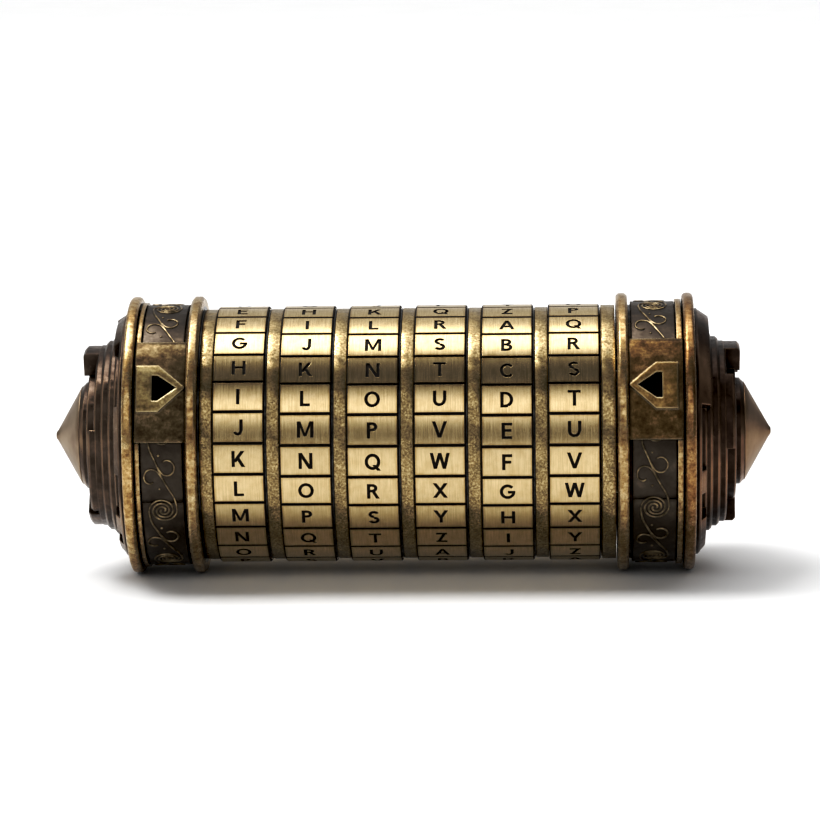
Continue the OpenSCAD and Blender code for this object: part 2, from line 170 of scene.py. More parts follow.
def stamp_tile(bm, letter, mid_angle, uv, shade):
    """Adds one tile: a curved face with the letter sunk in it, chamfers, and walls down into the ring."""
    half_x = RING_WIDTH / 2 - TILE_SIDE_EDGE
    half_y = math.radians(TILE_STEP / 2) * RING_RADIUS - TILE_SLIT / 2 - TILE_EDGE
    points, edges, faces = outline_and_rows(letter, half_x, half_y)
    shape = delaunay_2d_cdt([Vector(p) for p in points], edges, faces, 0, CUT_TOLERANCE)
    spots, triangles, sources = shape[0], shape[2], shape[5]
    per_metre = math.degrees(1 / RING_RADIUS)
    tile_shade = ALPHABET.index(letter) * GOLDEN % 1

    def vertex_at(x, y, r):
        return bm.verts.new(on_ring(x, mid_angle + y * per_metre, r))

    def face(corners, paint, at):
        made = bm.faces.new(corners)
        made.material_index = paint
        made[shade] = tile_shade
        for loop, p in zip(made.loops, at):
            loop[uv].uv = (p[0] / MM, p[1] / MM)

    tops = [vertex_at(p.x, p.y, RING_RADIUS) for p in spots]
    floors = {}
    sunk_sides = {}                                # sides round the sunk faces, in the order they are met
    for triangle, source in zip(triangles, sources):
        at = [spots[i] for i in triangle]
        if any(s > 0 for s in source):
            for i in triangle:
                if i not in floors:
                    floors[i] = vertex_at(spots[i].x, spots[i].y, RING_RADIUS - LETTER_DEPTH)
            face([floors[i] for i in triangle], 1, at)
            for a, b in zip(triangle, triangle[1:] + triangle[:1]):
                if (b, a) in sunk_sides:
                    del sunk_sides[(b, a)]
                else:
                    sunk_sides[(a, b)] = True
        else:
            face([tops[i] for i in triangle], 0, at)
    for a, b in sunk_sides:                        # walls of the letter
        face([floors[a], floors[b], tops[b], tops[a]], 1, [spots[a], spots[b], spots[b], spots[a]])
    for v in tops:
        if not v.link_faces:
            bm.verts.remove(v)

    # chamfer and wall round the tile, along the same rows of points as its face
    rows = [-half_y + 2 * half_y * i / TILE_ROWS for i in range(TILE_ROWS + 1)]
    border = [(half_x, y) for y in rows] + [(-half_x, y) for y in reversed(rows)]
    corners = (0, TILE_ROWS, TILE_ROWS + 1, 2 * TILE_ROWS + 1)
    found = {near_place(p.x, p.y): i for i, p in enumerate(spots)}
    face_loop = [tops[found[near_place(x, y)]] for x, y in border]

    def loop_at(r):
        """The same border grown by the chamfer, at another radius."""
        made = []
        for i, (x, y) in enumerate(border):
            grown_y = math.copysign(half_y + TILE_EDGE, y) if i in corners else y
            made.append(vertex_at(math.copysign(half_x + TILE_SIDE_EDGE, x), grown_y, r))
        return made

    chamfered = loop_at(RING_RADIUS - TILE_SIDE_EDGE)
    foot = loop_at(RING_RADIUS - SLIT_DEPTH - TILE_ROOT)
    for upper, lower in ((face_loop, chamfered), (chamfered, foot)):
        for i in range(len(border)):
            j = (i + 1) % len(border)
            face([upper[j], upper[i], lower[i], lower[j]], 1, [border[i], border[j], border[j], border[i]])
    face(foot[::-1], 1, border[::-1])


def letter_ring_mesh():
    bm = bmesh.new()
    uv = bm.loops.layers.uv.new("tile")
    shade = bm.faces.layers.float.new("tile_shade")
    for i, letter in enumerate(ALPHABET):
        stamp_tile(bm, letter, -i * TILE_STEP, uv, shade)

    # the ring under the tiles: floor of the slits, flat sides and bore
    core = RING_RADIUS - SLIT_DEPTH
    half = RING_WIDTH / 2 - SIDE_STEP
    profile = [(-half, core), (half, core), (half, RING_BORE), (-half, RING_BORE)]
    loops = []
    for i in range(RING_FLATS):
        loops.append([bm.verts.new(on_ring(x, 360 * i / RING_FLATS, r)) for x, r in profile])
    for a, b in zip(loops, loops[1:] + loops[:1]):
        for k in range(4):
            wall = bm.faces.new([a[k], b[k], b[(k + 1) % 4], a[(k + 1) % 4]])
            wall.material_index = 1 if k == 0 else 0
    bmesh.ops.recalc_face_normals(bm, faces=bm.faces)
    mesh = bpy.data.meshes.new("letter_ring")
    bm.to_mesh(mesh)
    bm.free()

    # the curved faces of the tiles shade as one cylinder, everything else stays crisp
    normals = []
    for polygon in mesh.polygons:
        for loop in polygon.loop_indices:
            co = mesh.vertices[mesh.loops[loop].vertex_index].co
            out = Vector((0, co.y, co.z)).normalized()
            round_face = polygon.normal.dot(out) > 0.99
            normals.append(out if round_face else polygon.normal.copy())
    mesh.normals_split_custom_set(normals)
    return mesh


def turned_copy(mesh, name, degrees):
    """The same ring turned on its axis. The turn is in the mesh, so that its box stays tight."""
    copy = mesh.copy()
    copy.name = name
    copy.transform(Matrix.Rotation(math.radians(degrees), 4, "X"))
    return copy


def node_adder(tree):
    """A short way to add a node: what feeds its sockets, their plain values as in_Name, and its settings."""

    def add(kind, links=None, **settings):
        node = tree.nodes.new("ShaderNode" + kind)
        for key, value in settings.items():
            if key.startswith("in_"):
                socket = key[3:].replace("_", " ")
                node.inputs[int(socket) if socket.isdigit() else socket].default_value = value
            else:
                setattr(node, key, value)
        for socket, source in (links or {}).items():
            tree.links.new(source, node.inputs[socket])
        return node

    return add


def shader(name, metallic=1.0):
    """A new material, with a way to add nodes and a way to feed its surface a node's output or a number."""
    material = bpy.data.materials.new(name)
    material.use_nodes = True
    tree = material.node_tree
    surface = tree.nodes["Principled BSDF"]

    def feed(source, socket):
        if isinstance(source, float):
            surface.inputs[socket].default_value = source
        else:
            tree.links.new(source, surface.inputs[socket])

    feed(metallic, "Metallic")
    return material, node_adder(tree), feed


def ramp(add, factor, *stops):
    """Colours along a factor, each stop as (place, (r, g, b)) or (place, grey)."""
    node = add("ValToRGB", {"Fac": factor})
    elements = node.color_ramp.elements
    while len(elements) < len(stops):
        elements.new(0.5)
    for element, (place, colour) in zip(elements, stops):
        element.position = place
        rgb = (colour,) * 3 if isinstance(colour, (int, float)) else colour
        element.color = (*rgb, 1)
    return node.outputs["Color"]


def blend(add, kind, factor, a, b):
    """Two colours blended, each a node's output or (r, g, b)."""
    node = add("Mix", data_type="RGBA", blend_type=kind)
    for socket, value in ((0, factor), (6, a), (7, b)):
        if isinstance(value, (int, float)):
            node.inputs[socket].default_value = value
        elif isinstance(value, tuple):
            node.inputs[socket].default_value = (*value, 1)
        else:
            node.id_data.links.new(value, node.inputs[socket])
    return node.outputs[2]


def calc(add, operation, a, b=None, clamp=False):
    """One step of arithmetic on node outputs or numbers."""
    node = add("Math", operation=operation, use_clamp=clamp)
    for socket, value in ((0, a), (1, b)):
        if isinstance(value, (int, float)):
            node.inputs[socket].default_value = value
        elif value is not None:
            node.id_data.links.new(value, node.inputs[socket])
    return node.outputs[0]


def noise(add, place, scale, detail, roughness=0.5):
    """Cloudy value from 0 to 1."""
    node = add("TexNoise", {"Vector": place}, in_Scale=scale, in_Detail=detail, in_Roughness=roughness)
    return node.outputs["Fac"]


def bumped(add, height, strength, depth, normal=None):
    """Normal that leans as if the face had this height."""
    links = {"Height": height, "Normal": normal} if normal else {"Height": height}
    return add("Bump", links, in_Strength=strength, in_Distance=depth).outputs[0]


def brushed_brass():
    """Old gold brass, brushed round the ring, browner towards the edges of each tile."""
    material, add, feed = shader("brushed_brass")
    uv = add("UVMap", uv_map="tile").outputs["UV"]
    shade = add("Attribute", attribute_name="tile_shade").outputs["Fac"]
    # the shade of a tile also moves its grain, so that no two look alike
    offset = add("CombineXYZ", {"X": calc(add, "MULTIPLY", shade, 37.0),
                                "Y": calc(add, "MULTIPLY", shade, 91.0)}).outputs[0]
    moved = add("VectorMath", {0: uv, 1: offset}, operation="ADD").outputs[0]
    stretched = add("VectorMath", {0: moved}, operation="MULTIPLY", in_1=(3.2, 0.11, 1.0)).outputs[0]
    strokes = noise(add, stretched, 1.6, 5.0, 0.7)
    clouds = noise(add, moved, 0.55, 4.0, 0.6)
    specks = noise(add, moved, 5.5, 3.0, 0.6)
    tone = ramp(add, strokes, (0.30, (0.50, 0.385, 0.205)), (0.70, (0.75, 0.60, 0.36)))
    warm = ramp(add, clouds, (0.3, (0.84, 0.80, 0.72)), (0.6, (1.0, 1.0, 1.0)))
    tone = blend(add, "MULTIPLY", 0.7, tone, warm)
    dots = ramp(add, specks, (0.27, (0.35, 0.26, 0.15)), (0.36, (1.0, 1.0, 1.0)))
    tone = blend(add, "MULTIPLY", 0.55, tone, dots)

    # brown edge where polish did not reach: distance from the tile's border
    parts = add("SeparateXYZ", {"Vector": uv}).outputs
    side = calc(add, "SUBTRACT", RING_WIDTH / 2 / MM, calc(add, "ABSOLUTE", parts[0]))
    reach = math.radians(TILE_STEP / 2) * RING_RADIUS / MM
    lip = calc(add, "SUBTRACT", reach, calc(add, "ABSOLUTE", parts[1]))
    near = calc(add, "MINIMUM", side, lip)
    uneven = calc(add, "ADD", near, calc(add, "MULTIPLY", clouds, 0.35))
    edge = ramp(add, calc(add, "MULTIPLY", uneven, 0.5), (0.18, (0.50, 0.42, 0.30)), (0.42, (1.0, 1.0, 1.0)))
    tone = blend(add, "MULTIPLY", 0.75, tone, edge)
    each = ramp(add, shade, (0.0, 0.93), (1.0, 1.03))
    feed(blend(add, "MULTIPLY", 1.0, tone, each), "Base Color")
    rough = add("MapRange", {"Value": strokes}, in_To_Min=0.17, in_To_Max=0.27)
    feed(rough.outputs[0], "Roughness")
    soft_edge = add("Bevel", samples=6, in_Radius=0.07 * MM).outputs[0]
    brush = bumped(add, strokes, 0.22, 0.02 * MM, soft_edge)
    feed(bumped(add, specks, 0.12, 0.02 * MM, brush), "Normal")
    return material


def letter_paint():
    """Black-brown paint and old wax that stay in the letters and slits."""
    material, add, feed = shader("letter_paint", metallic=0.0)
    grain = noise(add, add("TexCoord").outputs["Object"], 2600.0, 3.0)
    feed(ramp(add, grain, (0.35, (0.004, 0.003, 0.002)), (0.7, (0.016, 0.010, 0.006))), "Base Color")
    feed(0.6, "Roughness")
    feed(0.15, "Specular IOR Level")
    feed(bumped(add, grain, 0.3, 0.02 * MM), "Normal")
    return material


ring_mesh = letter_ring_mesh()
ring_mesh.materials.append(brushed_brass())
ring_mesh.materials.append(letter_paint())
for n, (letter, below) in enumerate(zip(CODE_ROW, BELOW_INDEX), start=1):
    low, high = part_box(f"letter_ring_{n}")
    first_letter_at = INDEX_ANGLE - below + ALPHABET.index(letter) * TILE_STEP
    turned_mesh = turned_copy(ring_mesh, f"letter_ring_{n}", -first_letter_at)
    ring = bpy.data.objects.new(f"lettered_ring_{n}", turned_mesh)
    bpy.context.scene.collection.objects.link(ring)
    ring.matrix_world = Matrix.Translation(((low[0] + high[0]) / 2, 0, AXIS_Z))
    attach(ring, f"dial_{n}")
    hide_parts(f"letter_ring_{n}")

# ---- Lock rings and closing ring ----
# The plain bands between the letters are the flanges of the lock rings, which turn with their letters, and
# the last band is the ring that closes the stack. They are cast, so their faces are finely pitted.
BAND_EDGE = 0.12 * MM
CLOSING_EDGE = 0.14 * MM
WELD_GAP = 0.002 * MM


def rounded(node, width, angle=30.0, segments=2):
    """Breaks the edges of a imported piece: joins its faces, then rounds every edge sharper than the angle."""
    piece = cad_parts[node]
    weld = piece.modifiers.new("weld", "WELD")
    weld.merge_threshold = WELD_GAP
    bevel = piece.modifiers.new("broken_edges", "BEVEL")
    bevel.width = width
    bevel.segments = segments
    bevel.limit_method = "ANGLE"
    bevel.angle_limit = math.radians(angle)
    bevel.harden_normals = True


def finish_in(node, material):
    """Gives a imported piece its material."""
    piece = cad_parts[node]
    piece.data.materials.clear()
    piece.data.materials.append(material)


def from_axis(add):
    """Object-space place with the cylinder's axis at its origin, and the distance from that axis in mm."""
    place = add("TexCoord").outputs["Object"]
    centred = add("VectorMath", {0: place}, operation="SUBTRACT", in_1=(0, 0, AXIS_Z)).outputs[0]
    flat = add("VectorMath", {0: centred}, operation="MULTIPLY", in_1=(0, 1, 1)).outputs[0]
    distance = add("VectorMath", {0: flat}, operation="LENGTH").outputs["Value"]
    return centred, calc(add, "MULTIPLY", distance, 1 / MM)


def edges_by_lean(add, radius):
    """A normal that is rounded over the edges, and 0 on flats to 1 on edges, from how far it leans there."""
    true = add("NewGeometry").outputs["Normal"]
    soft = add("Bevel", samples=6, in_Radius=radius).outputs[0]
    lean = add("VectorMath", {0: true, 1: soft}, operation="DOT_PRODUCT").outputs["Value"]
    return soft, calc(add, "SUBTRACT", 1.0, lean, clamp=True)


def unshaded_faces(add, reach):
    """1 on open faces, falling to 0 in inner corners and narrow gaps, where painted shade is laid."""
    open_sky = add("AmbientOcclusion", samples=5, in_Distance=reach).outputs["AO"]
    return ramp(add, open_sky, (0.35, 0.0), (0.93, 1.0))


def speckled_brass():
    """Antiqued cast brass: grey-brown film with fine bright pits."""
    material, add, feed = shader("speckled_brass")
    place, _ = from_axis(add)
    fine = noise(add, place, 2600.0, 3.0, 0.65)
    broad = noise(add, place, 330.0, 4.0, 0.6)
    film = ramp(add, fine, (0.32, (0.145, 0.108, 0.056)), (0.5, (0.30, 0.232, 0.128)),
                (0.7, (0.57, 0.475, 0.295)))
    cloud = ramp(add, broad, (0.3, (0.62, 0.60, 0.56)), (0.7, (1.25, 1.2, 1.12)))
    tone = blend(add, "MULTIPLY", 1.0, film, cloud)
    soft, edge_lean = edges_by_lean(add, 0.25 * MM)
    bright_edges = calc(add, "MULTIPLY", edge_lean, 5.0, clamp=True)
    feed(blend(add, "MIX", calc(add, "MULTIPLY", bright_edges, 0.7), tone, (0.62, 0.50, 0.30)), "Base Color")
    feed(ramp(add, fine, (0.3, 0.38), (0.7, 0.24)), "Roughness")
    feed(bumped(add, fine, 0.5, 0.03 * MM, soft), "Normal")
    return material


SPECKLED = speckled_brass()
for n in range(1, len(CODE_ROW) + 1):
    rounded(f"lock_ring_{n}", BAND_EDGE)
    finish_in(f"lock_ring_{n}", SPECKLED)
rounded("retaining_ring", CLOSING_EDGE)
finish_in("retaining_ring", SPECKLED)

# ---- Collars and rims ----
# Turned brass ends with round rims, dipped to darken and rubbed back, so the high places shine through a
# brown film. The groove beside each inner rim keeps its black.
GROOVE_RADIUS = 23.3                               # below this the collars keep their black, in mm
GROOVE_BLUR = 0.15                                 # either side of it the black fades, in mm
COLLAR_EDGE = 0.28 * MM
RIM_EDGE = 0.30 * MM
SHARP_ANGLE = 25.0                                 # the ends' edges that turn more than this are rounded


def between(add, value, low, high):
    """0 below low, 1 above high and an even rise between them."""
    return add("MapRange", {"Value": value}, in_From_Min=low, in_From_Max=high).outputs[0]


def antique_brass(name, cast_tint):
    """Dipped and rubbed brass with brown blotches, black in its groove, and painted shade in its corners."""
    material, add, feed = shader(name)
    place, radius = from_axis(add)
    blotches = noise(add, place, 900.0, 7.0, 0.72)
    fine = noise(add, place, 2300.0, 3.0, 0.6)
    broad = noise(add, place, 120.0, 3.0)
    film = ramp(add, blotches, (0.34, (0.17, 0.105, 0.046)), (0.48, (0.36, 0.255, 0.13)),
                (0.6, (0.52, 0.41, 0.24)), (0.72, (0.66, 0.55, 0.35)))
    grain = ramp(add, fine, (0.3, (0.62, 0.6, 0.58)), (0.65, (1.1, 1.1, 1.1)))
    tone = blend(add, "MULTIPLY", 0.85, film, grain)
    cast = ramp(add, broad, (0.35, (1.0, 0.90, 0.78)), (0.65, (1.0, 1.0, 1.0)))
    tone = blend(add, "MULTIPLY", 0.8, tone, cast)
    tone = blend(add, "MULTIPLY", 1.0, tone, cast_tint)
    soft, edge_lean = edges_by_lean(add, 0.35 * MM)
    unshaded = unshaded_faces(add, 1.0 * MM)
    bright_edges = calc(add, "MULTIPLY", calc(add, "MULTIPLY", edge_lean, 4.0, clamp=True), unshaded)
    tone = blend(add, "MIX", calc(add, "MULTIPLY", bright_edges, 0.75), tone, (0.84, 0.74, 0.54))
    # painted shade: near-black in inner corners and narrow gaps
    tone = blend(add, "MIX", unshaded, (0.035, 0.026, 0.018), tone)
    above = between(add, radius, GROOVE_RADIUS - GROOVE_BLUR, GROOVE_RADIUS + GROOVE_BLUR)
    black = blend(add, "MULTIPLY", 1.0, tone, (0.10, 0.085, 0.07))
    feed(blend(add, "MIX", above, black, tone), "Base Color")
    feed(ramp(add, blotches, (0.35, 0.38), (0.65, 0.22)), "Roughness")
    feed(bumped(add, blend(add, "ADD", 0.5, blotches, fine), 0.45, 0.04 * MM, soft), "Normal")
    return material


ANTIQUE = antique_brass("antique_brass", (1.0, 1.0, 1.0))
BRIGHT = antique_brass("bright_antique_brass", (1.2, 1.19, 1.16))
COPPERY = antique_brass("coppery_brass", (0.74, 0.63, 0.56))
for side in ("left", "right"):
    rounded(f"{side}_collar", COLLAR_EDGE, SHARP_ANGLE, 3)
    rounded(f"{side}_cap_rim", RIM_EDGE, SHARP_ANGLE, 3)
    finish_in(f"{side}_collar", ANTIQUE)
finish_in("left_cap_rim", BRIGHT)
finish_in("right_cap_rim", COPPERY)

# ---- Scroll bands ----
# Thin pressed strips wrapped round the collars and blackened. A running scroll stands proud of them: a
# double spiral, a long diagonal to the next one, two curls and two dots, ten times round.
BAND_REPEATS = 10
BAND_START = 10.6                                  # angle of the first spiral above the front, in degrees
PLATE_HALF = 23.0                                  # half of the arc that an index plate covers, in degrees
BAND_EDGE_BREAK = 0.08 * MM
WIRE_HALF = 0.20 * MM
WIRE_HEIGHT = 0.20 * MM
WIRE_SUNK = 0.05 * MM
WIRE_TIP = 0.55                                    # width left at the very end of a line
DOT_RADIUS = 0.24 * MM
DOT_FLATNESS = 0.65
SPIRAL_OUT = 2.5
SPIRAL_IN = 0.28
SPIRAL_TURNS = 1.6
SPIRAL_STEPS = 46
SHORTEST_LINE = 4                                  # points in the shortest stretch worth pressing


def spiral_arm(first_angle):
    """Arm of a double spiral from its middle outwards, in mm. It ends level with the middle."""
    points = []
    for i in range(SPIRAL_STEPS + 1):
        t = i / SPIRAL_STEPS
        a = math.radians(first_angle - 360 * SPIRAL_TURNS * (1 - t))
        r = SPIRAL_IN + (SPIRAL_OUT - SPIRAL_IN) * t
        points.append((r * math.cos(a), r * math.sin(a)))
    return points


def smooth(points, per_span=7):
    """Smooth curve through a few chosen points."""
    ends = [points[0]] + points + [points[-1]]
    curve = []
    for a, b, c, d in zip(ends, ends[1:], ends[2:], ends[3:]):
        for i in range(per_span):
            t = i / per_span
            spot = []
            for p, q, r, s in zip(a, b, c, d):
                bend = (2 * p - 5 * q + 4 * r - s) * t * t + (3 * q - p - 3 * r + s) * t ** 3
                spot.append(0.5 * (2 * q + (r - p) * t + bend))
            curve.append(tuple(spot))
    return curve + [points[-1]]


def lay_wire(bm, points, r, mid_x, mid_angle):
    """Half-round bead along flat points, bent round the band. Both ends taper."""
    per_mm = math.degrees(MM / r)
    spots = [on_ring(mid_x + x * MM, mid_angle + y * per_mm, r) for x, y in points]
    section = [(-1, -WIRE_SUNK), (-0.72, 0.6 * WIRE_HEIGHT), (0, WIRE_HEIGHT), (0.72, 0.6 * WIRE_HEIGHT),
               (1, -WIRE_SUNK)]
    rows = []
    for i, spot in enumerate(spots):
        out = Vector((0, spot.y, spot.z)).normalized()
        ahead = (spots[min(i + 1, len(spots) - 1)] - spots[max(i - 1, 0)]).normalized()
        across = ahead.cross(out).normalized()
        from_end = min(i, len(spots) - 1 - i)
        k = WIRE_TIP + (1 - WIRE_TIP) * min(1, from_end / 2)
        rows.append([bm.verts.new(spot + across * (w * WIRE_HALF * k) + out * h * k) for w, h in section])
    for a, b in zip(rows, rows[1:]):
        for j in range(5):
            bm.faces.new([a[j], a[(j + 1) % 5], b[(j + 1) % 5], b[j]])
    bm.faces.new(rows[0][::-1])
    bm.faces.new(rows[-1])


def lay_dot(bm, x, y, r, mid_x, mid_angle):
    """Small round boss."""
    spot = on_ring(mid_x + x * MM, mid_angle + y * math.degrees(MM / r), r)
    out = Vector((0, spot.y, spot.z)).normalized()
    boss = bmesh.ops.create_uvsphere(bm, u_segments=10, v_segments=6, radius=DOT_RADIUS)
    turn = out.to_track_quat("Z", "Y").to_matrix().to_4x4()
    squash = Matrix.Scale(DOT_FLATNESS, 4, (0, 0, 1))
    bmesh.ops.transform(bm, matrix=Matrix.Translation(spot) @ turn @ squash, verts=boss["verts"])


def under_plate(angle):
    """Whether the index plate covers the band at an angle."""
    angle = (angle + 180) % 360 - 180
    return INDEX_ANGLE - PLATE_HALF <= angle <= INDEX_ANGLE + PLATE_HALF


def clear_stretches(points, mid_angle, per_mm):
    """Stretches of a line that the index plate leaves clear."""
    stretch = []
    for x, y in points:
        if under_plate(mid_angle + y * per_mm):
            if len(stretch) >= SHORTEST_LINE:
                yield stretch
            stretch = []
        else:
            stretch.append((x, y))
    if len(stretch) >= SHORTEST_LINE:
        yield stretch


def scroll_mesh(name, r, mid_x):
    """The whole running scroll round one band, left out under the index plate."""
    bm = bmesh.new()
    pitch = math.radians(360 / BAND_REPEATS) * r / MM
    per_mm = math.degrees(MM / r)
    diagonal = [(-SPIRAL_OUT, 0), (-2.46, -0.9), (-2.1, -2.9), (-1.05, -5.4), (0.0, -8.1), (1.15, -10.4),
                (2.1, -12.2), (2.46, -pitch + 0.9), (SPIRAL_OUT, -pitch)]
    right_curl = [(0.3, -5.35), (0.95, -5.05), (1.75, -5.3), (2.3, -6.1), (2.15, -7.1), (1.4, -7.8),
                  (0.5, -7.75), (-0.1, -7.2), (-0.65, -6.2)]
    left_curl = [(-1.5, -9.1), (-2.1, -9.45), (-2.9, -9.0), (-3.15, -8.1), (-2.75, -7.1), (-1.9, -6.7),
                 (-1.0, -6.95), (-0.45, -7.5), (0.25, -8.7)]
    dots = [(-0.5, -4.2), (-0.45, -10.4)]
    lines = [spiral_arm(180), spiral_arm(0), smooth(diagonal), smooth(right_curl), smooth(left_curl)]
    for k in range(BAND_REPEATS):
        middle = BAND_START - 360 / BAND_REPEATS * k
        for line in lines:
            for stretch in clear_stretches(line, middle, per_mm):
                lay_wire(bm, stretch, r, mid_x, middle)
        for x, y in dots:
            if not under_plate(middle + y * per_mm):
                lay_dot(bm, x, y, r, mid_x, middle)
    bmesh.ops.recalc_face_normals(bm, faces=bm.faces)
    mesh = bpy.data.meshes.new(name)
    bm.to_mesh(mesh)
    bm.free()
    mesh.shade_smooth()
    return mesh


def blackened_bronze():
    """Near-black dip on the flat of the bands, with brown clouds, a dull gloss, and painted shade beside the
    wires and in corners.
    """
    material, add, feed = shader("blackened_bronze")
    place, _ = from_axis(add)
    clouds = noise(add, place, 260.0, 6.0, 0.65)
    fine = noise(add, place, 2100.0, 3.0)
    tone = ramp(add, clouds, (0.35, (0.040, 0.031, 0.024)), (0.6, (0.070, 0.056, 0.043)),
                (0.75, (0.13, 0.098, 0.070)))
    soft, edge_lean = edges_by_lean(add, 0.2 * MM)
    bright_edges = calc(add, "MULTIPLY", edge_lean, 2.5, clamp=True)
    tone = blend(add, "MIX", calc(add, "MULTIPLY", bright_edges, 0.5), tone, (0.35, 0.27, 0.17))
    # painted shade: near-black beside the wires and in corners
    feed(blend(add, "MIX", unshaded_faces(add, 0.5 * MM), (0.012, 0.009, 0.007), tone), "Base Color")
    feed(ramp(add, fine, (0.3, 0.48), (0.7, 0.32)), "Roughness")
    feed(bumped(add, fine, 0.35, 0.04 * MM, soft), "Normal")
    return material


def rubbed_wire():
    """Brass that shows through where the dip is rubbed off the scroll's high line."""
    material, add, feed = shader("rubbed_wire")
    place, _ = from_axis(add)
    patches = noise(add, place, 700.0, 4.0, 0.6)
    tone = ramp(add, patches, (0.36, (0.09, 0.068, 0.04)), (0.5, (0.20, 0.155, 0.095)),
                (0.68, (0.44, 0.35, 0.21)))
    feed(tone, "Base Color")
    feed(0.3, "Roughness")
    return material


BLACKENED = blackened_bronze()
RUBBED = rubbed_wire()
for side, body in (("left", "case"), ("right", "vault")):
    finish_in(f"{side}_scroll_band", BLACKENED)
    rounded(f"{side}_scroll_band", BAND_EDGE_BREAK)
    low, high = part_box(f"{side}_scroll_band")
    mesh = scroll_mesh(f"{side}_scrollwork", (high[2] - low[2]) / 2, (low[0] + high[0]) / 2)
    mesh.transform(Matrix.Translation((0, 0, AXIS_Z)))
    mesh.materials.append(RUBBED)
    scrollwork = bpy.data.objects.new(f"{side}_scrollwork", mesh)
    bpy.context.scene.collection.objects.link(scrollwork)
    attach(scrollwork, body)

# ---- Index plates ----
# Curved cast plates pinned over the bands, each with a raised arrow frame that points at the code row. The
# recess inside the arrow is painted black.
# below this radius the plate's sides are black as well, which is painted shade
BLACK_BELOW_RADIUS = 24.1                               # the paint lies below this, in mm
BLACK_BELOW_BLUR = 0.06
PLATE_FACE = 24.45                                 # the plate's own face is no higher than this, in mm
ARROW_FACE = 24.6                                  # and the arrow frame's is no lower than this
PLATE_EDGE = 0.18 * MM


def plate_brass(name, cast_tint):
    """Cast brass, dark on the plate and rubbed lighter on the arrow, with edge wear and a painted highlight on
    its edges, painted shade in its corners, black paint in the recess and painted shade on its sides.
    """
    material, add, feed = shader(name)
    place, radius = from_axis(add)
    blotches = noise(add, place, 520.0, 7.0, 0.72)
    fine = noise(add, place, 2300.0, 3.0)
    low_film = ramp(add, blotches, (0.36, (0.060, 0.038, 0.020)), (0.52, (0.135, 0.093, 0.048)),
                    (0.68, (0.30, 0.228, 0.13)))
    high_film = ramp(add, blotches, (0.36, (0.13, 0.090, 0.040)), (0.5, (0.25, 0.185, 0.088)),
                     (0.68, (0.47, 0.375, 0.205)))
    tone = blend(add, "MIX", between(add, radius, PLATE_FACE, ARROW_FACE), low_film, high_film)
    grain = ramp(add, fine, (0.3, (0.6, 0.58, 0.55)), (0.65, (1.1, 1.1, 1.1)))
    tone = blend(add, "MULTIPLY", 0.8, tone, grain)
    tone = blend(add, "MULTIPLY", 1.0, tone, cast_tint)
    soft, edge_lean = edges_by_lean(add, 0.55 * MM)
    unshaded = unshaded_faces(add, 0.9 * MM)
    bright_edges = calc(add, "MULTIPLY", calc(add, "MULTIPLY", edge_lean, 4.0, clamp=True), unshaded)
    # edge wear with a painted highlight: lighter along the convex edges
    tone = blend(add, "MIX", calc(add, "MULTIPLY", bright_edges, 0.8), tone, (0.76, 0.64, 0.42))
    # painted shade: near-black in inner corners and narrow gaps
    tone = blend(add, "MIX", unshaded, (0.03, 0.022, 0.014), tone)
    above = between(add, radius, BLACK_BELOW_RADIUS - BLACK_BELOW_BLUR, BLACK_BELOW_RADIUS + BLACK_BELOW_BLUR)
    # black below that radius: paint in the arrow's recess, painted shade on the plate's sides
    feed(blend(add, "MIX", above, (0.008, 0.006, 0.005), tone), "Base Color")
    feed(ramp(add, blotches, (0.35, 0.52), (0.65, 0.34)), "Roughness")
    feed(bumped(add, blend(add, "ADD", 0.5, blotches, fine), 0.45, 0.06 * MM, soft), "Normal")
    return material


PLATES = {"left": plate_brass("plate_brass", (0.94, 0.97, 1.0)),
          "right": plate_brass("brown_plate_brass", (0.86, 0.76, 0.62))}
for side, brass in PLATES.items():
    finish_in(f"{side}_index_plate", brass)
    rounded(f"{side}_index_plate", PLATE_EDGE, segments=3)

# ---- End caps ----
# Cast bronze caps, stepped towards a hub, with broken arcs standing on the steps. The dark brown dip is
# rubbed off their edges down to copper, with a painted highlight on the sloping edges and painted shade in the
# corners.
CAP_EDGE = 0.22 * MM


